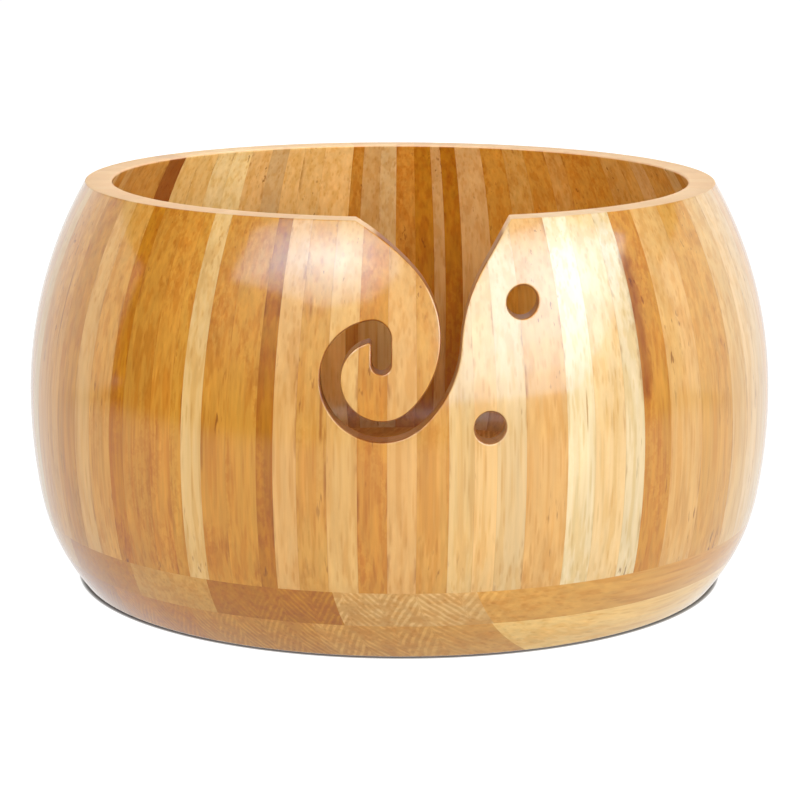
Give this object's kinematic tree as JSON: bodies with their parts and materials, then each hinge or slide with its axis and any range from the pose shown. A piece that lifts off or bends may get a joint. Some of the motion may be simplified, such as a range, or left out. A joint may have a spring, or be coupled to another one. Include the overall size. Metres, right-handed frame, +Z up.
{
  "type": "yarn bowl",
  "caption": "Round bowl of glued bamboo strips that holds a ball of yarn, with a curled hook slot and two drilled holes that guide the strand.",
  "frame": {"origin": "centre of the flat underside, on the surface the bowl stands on", "axes": "+Z up through the mouth of the bowl, -Y towards the side with the slot, +X to the right when facing the slot"},
  "size_m": [0.16, 0.16, 0.086],
  "materials": {
    "wall_bamboo": "glossy clear lacquer on upright bamboo strips",
    "base_upper_bamboo": "glossy clear lacquer on bamboo boards",
    "base_lower_bamboo": "glossy clear lacquer on bamboo boards"
  },
  "bodies": {
    "root": {"base_lower_board_1": "base_lower_bamboo", "base_lower_board_2": "base_lower_bamboo", "base_lower_board_3": "base_lower_bamboo", "base_lower_board_4": "base_lower_bamboo", "base_lower_board_5": "base_lower_bamboo", "base_lower_board_6": "base_lower_bamboo", "base_lower_board_7": "base_lower_bamboo", "base_upper_board_1": "base_upper_bamboo", "base_upper_board_2": "base_upper_bamboo", "base_upper_board_3": "base_upper_bamboo", "base_upper_board_4": "base_upper_bamboo", "base_upper_board_5": "base_upper_bamboo", "base_upper_board_6": "base_upper_bamboo", "base_upper_board_7": "base_upper_bamboo", "wall_strips_01": "wall_bamboo", "wall_strips_02": "wall_bamboo", "wall_strips_03": "wall_bamboo", "wall_strips_04": "wall_bamboo", "wall_strips_05": "wall_bamboo", "wall_strips_06": "wall_bamboo", "wall_strips_07": "wall_bamboo", "wall_strips_08": "wall_bamboo", "wall_strips_09": "wall_bamboo", "wall_strips_10": "wall_bamboo", "wall_strips_11": "wall_bamboo", "wall_strips_12": "wall_bamboo", "wall_strips_13": "wall_bamboo", "wall_strips_14": "wall_bamboo", "wall_strips_15": "wall_bamboo", "wall_strips_16": "wall_bamboo", "wall_strips_17": "wall_bamboo", "wall_strips_18": "wall_bamboo", "wall_strips_19": "wall_bamboo", "wall_strips_20": "wall_bamboo", "wall_strips_21": "wall_bamboo", "wall_strips_22": "wall_bamboo", "wall_strips_23": "wall_bamboo", "wall_strips_24": "wall_bamboo", "wall_strips_25": "wall_bamboo", "wall_strips_26": "wall_bamboo", "wall_strips_27": "wall_bamboo", "wall_strips_28": "wall_bamboo", "wall_strips_29": "wall_bamboo", "wall_strips_30": "wall_bamboo", "wall_strips_31": "wall_bamboo", "wall_strips_32": "wall_bamboo", "wall_strips_33": "wall_bamboo", "wall_strips_34": "wall_bamboo", "wall_strips_35": "wall_bamboo", "wall_strips_36": "wall_bamboo", "wall_strips_37": "wall_bamboo", "wall_strips_38": "wall_bamboo", "wall_strips_39": "wall_bamboo", "wall_strips_40": "wall_bamboo"}
  },
  "joints": []
}
